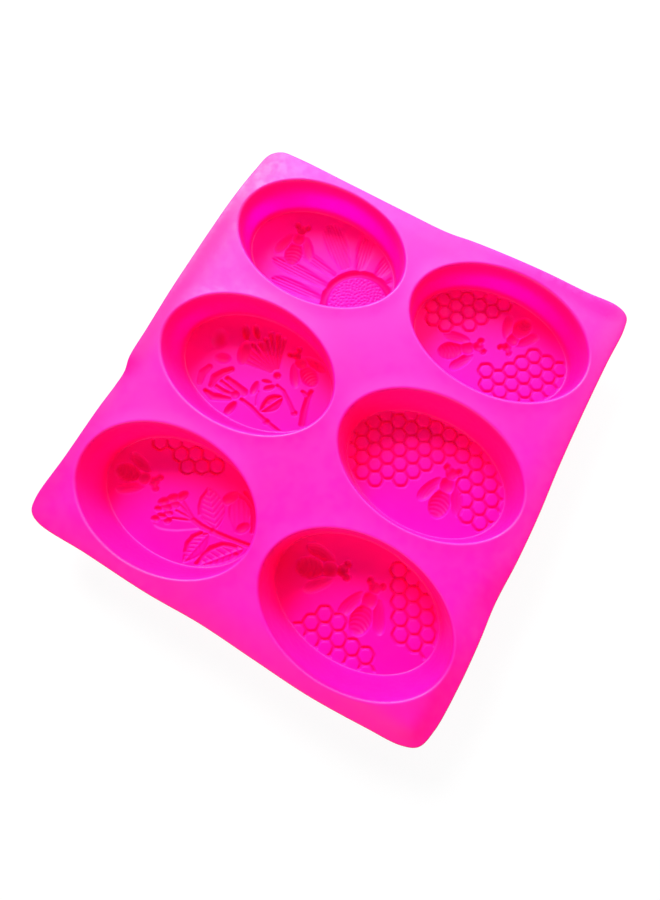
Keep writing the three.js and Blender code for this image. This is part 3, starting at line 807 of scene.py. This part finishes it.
def silicone(name, pinks, grain, shine, haze, painted_glow, glow=0.0, sunk=None, edge_shade=None):
    """Moulded silicone, which glows faintly red: painted light that stands in for light scattered inside it.
    With glow, a wall lets light through. With sunk, that colour is painted as shade on what lies sunk
    below the floor of a pocket. Given a side colour, it is painted as shade on the tray's front and sides."""
    material = bpy.data.materials.new(name)
    make = NodeMaker(material)
    shader = make.nodes["Principled BSDF"]
    split = make.nodes.new("ShaderNodeSeparateXYZ")
    make.feed(split.inputs["Vector"], make.place)
    x, y, z = (split.outputs[axis] for axis in "XYZ")

    colour = make.blend(make.ramp(make.noise(PATCH_SCALE), (0.35, 0.65), 0, 1), pinks[1], pinks[0])
    # Painted shade: the tray's sides and front are made redder and darker.
    if edge_shade:
        sideways = make.calculate("DIVIDE", make.calculate("ABSOLUTE", x), TRAY_HALF_X * MM)
        forwards = make.calculate("DIVIDE", y, -TRAY_HALF_Y * MM)
        reach = make.calculate("MAXIMUM", sideways, forwards)
        colour = make.blend(make.ramp(reach, EDGE_SHADE_RANGE, 0, 1), colour, edge_shade)
    # Painted shade: what lies below the floor's top is made redder and darker, with less shine and sheen.
    if sunk:
        colour = make.blend(make.ramp(z, in_metres(SUNK_SHADE_RANGE), 1, 0), colour, sunk)
        shine = make.ramp(z, in_metres(SUNK_SHADE_RANGE), SUNK_SHINE * shine, shine)
        haze = make.ramp(z, in_metres(SUNK_SHADE_RANGE), SUNK_SHINE * haze, haze)

    waves = make.bump(*WAVES, WAVE_STRENGTH)
    make.feed(waves.inputs["Normal"], make.bump(*GRAIN, grain).outputs["Normal"])
    for name_in, value in (
        ("Base Color", colour),
        ("Roughness", make.ramp(make.noise(ROUGHNESS_SCALE, 3), (0.3, 0.7), *ROUGHNESS_RANGE)),
        ("Normal", waves.outputs["Normal"]),
        ("IOR", REFRACTION),
        ("Specular IOR Level", shine),
        ("Sheen Weight", haze),
        ("Sheen Roughness", HAZE_ROUGHNESS),
        ("Sheen Tint", HAZE),
        # Painted light: a faint red glow that stands in for light scattered inside the silicone.
        ("Emission Color", PAINTED_SCATTER_GLOW),
        ("Emission Strength", painted_glow),
    ):
        make.feed(shader.inputs[name_in], value)

    if glow:
        rising = make.ramp(z, in_metres(GLOW_STARTS), 0, 1)
        falling = make.ramp(z, in_metres(GLOW_ENDS), 1, 0)
        share = make.calculate("MULTIPLY", make.calculate("MULTIPLY", rising, falling), glow)
        through = make.nodes.new("ShaderNodeBsdfTranslucent")
        make.feed(through.inputs["Color"], GLOW)
        both = make.nodes.new("ShaderNodeMixShader")
        make.feed(both.inputs["Fac"], share)
        make.feed(both.inputs[1], shader.outputs["BSDF"])
        make.feed(both.inputs[2], through.outputs["BSDF"])
        make.feed(make.nodes["Material Output"].inputs["Surface"], both.outputs["Shader"])
    return material


deck = make_deck()
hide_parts("tray_deck")
# The deck's look paints shade at its sides and front, and glows faintly red as painted light.
deck_look = silicone("silicone_deck_look", DECK_PINK, 0.35, 0.5, 0.0, 0.14, edge_shade=EDGE_SHADE_PINK)
deck.data.materials.append(deck_look)
# The floors' look paints shade on what lies below their top, and glows faintly red as painted light.
floor_look = silicone("silicone_relief_look", RELIEF_PINK, 0.3, 0.14, 0.05, 0.132, sunk=SUNK_SHADE_PINK)
# The walls' looks glow faintly red as painted light, and let through amounts of lamp light set by place,
# partly painted light and shade.
for place, glow in WALL_GLOW.items():
    wall_look = silicone("silicone_wall_look_" + place, WALL_PINK, 0.3, 0.42, 0.02, 0.12, glow=glow)
    make_wall(place).data.materials.append(wall_look)
    make_floor(place).data.materials.append(floor_look)

# ---- Stage, light and camera. Lengths are in metres, and powers in watts. -----------------------

STAGE_HALF = 3.0
STAGE_GREY = 0.06
STAGE_BRIGHTNESS = 0.93
STUDIO_LIGHT = 0.02
STUDIO_BRIGHTNESS = 0.95

# Each square lamp's place, side and power. They all point at the middle of the tray.
LAMPS = {
    "key": ((-0.809, 0.704, 0.9), 0.55, 34.0),
    "back": ((0.07, 0.345, 0.289), 0.25, 1.1),
    "rake": ((-0.141, 0.525, 0.254), 0.3, 1.0),
    "fill": ((0.0, -0.573, 0.402), 0.5, 1.7),
}

CAMERA_PLACE = (0.03712, -0.03605, 0.2748)
CAMERA_RIGHT = (0.872, 0.489, -0.026)
CAMERA_BACK = (0.140, -0.198, 0.970)
CAMERA_SHIFT = (-0.0283, -0.0740)
SENSOR_WIDTH = 36
FOCAL_LENGTH = 24


def make_floor_stage():
    half = STAGE_HALF
    corners = [(-half, -half, 0), (half, -half, 0), (half, half, 0), (-half, half, 0)]
    mesh = bpy.data.meshes.new("stage_floor")
    mesh.from_pydata(corners, [], [(0, 1, 2, 3)])
    stage = bpy.data.objects.new("stage_floor", mesh)
    bpy.context.scene.collection.objects.link(stage)
    material = bpy.data.materials.new("stage_paper")
    material.use_nodes = True
    shader = material.node_tree.nodes["Principled BSDF"]
    shader.inputs["Base Color"].default_value = (STAGE_GREY, STAGE_GREY, STAGE_GREY, 1)
    shader.inputs["Roughness"].default_value = 0.9
    shader.inputs["Emission Color"].default_value = (1, 1, 1, 1)
    shader.inputs["Emission Strength"].default_value = STAGE_BRIGHTNESS
    mesh.materials.append(material)


def make_lamp(name, place, side, power):
    data = bpy.data.lights.new(name, "AREA")
    data.shape = "SQUARE"
    data.size = side
    data.energy = power
    lamp = bpy.data.objects.new(name, data)
    bpy.context.scene.collection.objects.link(lamp)
    lamp.location = place
    lamp.rotation_mode = "QUATERNION"
    lamp.rotation_quaternion = (-Vector(place)).to_track_quat("-Z", "Y")


def make_studio():
    """The surroundings look as pale as the stage, but they light the tray very little."""
    world = bpy.data.worlds.new("studio")
    world.use_nodes = True
    nodes, links = world.node_tree.nodes, world.node_tree.links
    rays = nodes.new("ShaderNodeLightPath")
    brightness = nodes.new("ShaderNodeMapRange")
    brightness.inputs["To Min"].default_value = STUDIO_LIGHT
    brightness.inputs["To Max"].default_value = STUDIO_BRIGHTNESS
    nodes["Background"].inputs["Color"].default_value = (1, 1, 1, 1)
    links.new(rays.outputs["Is Camera Ray"], brightness.inputs["Value"])
    links.new(brightness.outputs["Result"], nodes["Background"].inputs["Strength"])
    bpy.context.scene.world = world


def make_camera():
    data = bpy.data.cameras.new("camera")
    data.sensor_width = SENSOR_WIDTH
    data.lens = FOCAL_LENGTH
    data.shift_x, data.shift_y = CAMERA_SHIFT
    data.clip_start = 0.01
    camera = bpy.data.objects.new("camera", data)
    bpy.context.scene.collection.objects.link(camera)
    back = Vector(CAMERA_BACK).normalized()
    up = back.cross(Vector(CAMERA_RIGHT).normalized()).normalized()
    right = up.cross(back)
    turn = Matrix((right, up, back)).transposed().to_4x4()
    camera.matrix_world = Matrix.Translation(CAMERA_PLACE) @ turn
    bpy.context.scene.camera = camera


make_floor_stage()
for name, (place, side, power) in LAMPS.items():
    make_lamp(name, place, side, power)
make_studio()
make_camera()
scene = bpy.context.scene
scene.view_settings.view_transform = "Standard"
scene.cycles.max_bounces = 16
scene.cycles.diffuse_bounces = 10
scene.cycles.transmission_bounces = 12
